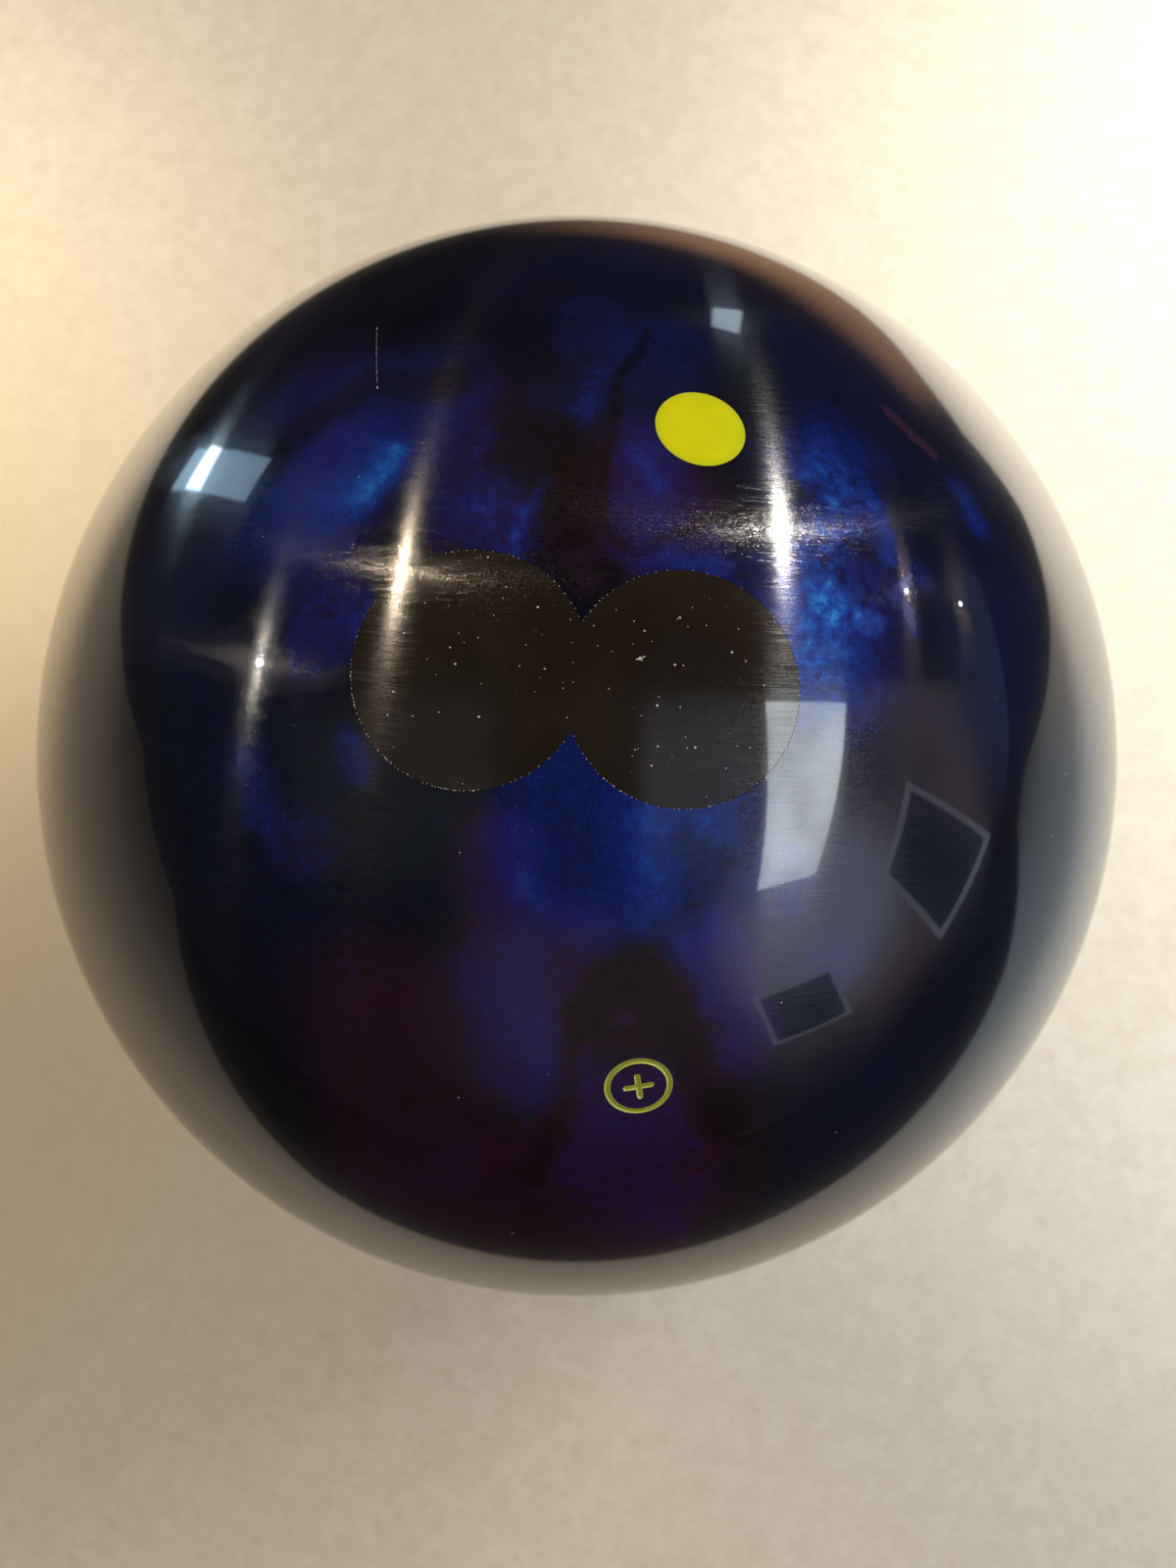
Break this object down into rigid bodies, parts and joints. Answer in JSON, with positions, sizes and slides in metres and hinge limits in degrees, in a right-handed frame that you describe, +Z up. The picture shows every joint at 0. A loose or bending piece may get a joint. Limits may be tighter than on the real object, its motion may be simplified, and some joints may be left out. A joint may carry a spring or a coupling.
{
  "type": "bowling ball",
  "caption": "Polished ten-pin bowling ball: swirled pearl shell over a light core with a dense offset weight block, locator pin, plugged grip holes and an engraved balance mark.",
  "frame": {"origin": "centre of the ball", "axes": "+Z up through the middle of the finger grip, -Y from the grip towards the thumb, +X to the right of the grip; -Z points at whatever the ball rests on"},
  "size_m": [0.217, 0.217, 0.217],
  "materials": {
    "cover_resin": "polished",
    "core_filler": "matte",
    "dense_block": "matte",
    "dense_cap": "matte",
    "pin_resin": "polished",
    "plug_resin": "polished",
    "mark_paint": "satin"
  },
  "bodies": {
    "root": {"coverstock": "cover_resin", "outer_core": "core_filler", "weight_block": "dense_block", "weight_block_cap": "dense_cap", "locator_pin": "pin_resin", "finger_plug_left": "plug_resin", "finger_plug_right": "plug_resin", "thumb_plug": "plug_resin", "cg_mark_ring": "mark_paint", "cg_mark_cross": "mark_paint"}
  },
  "joints": []
}
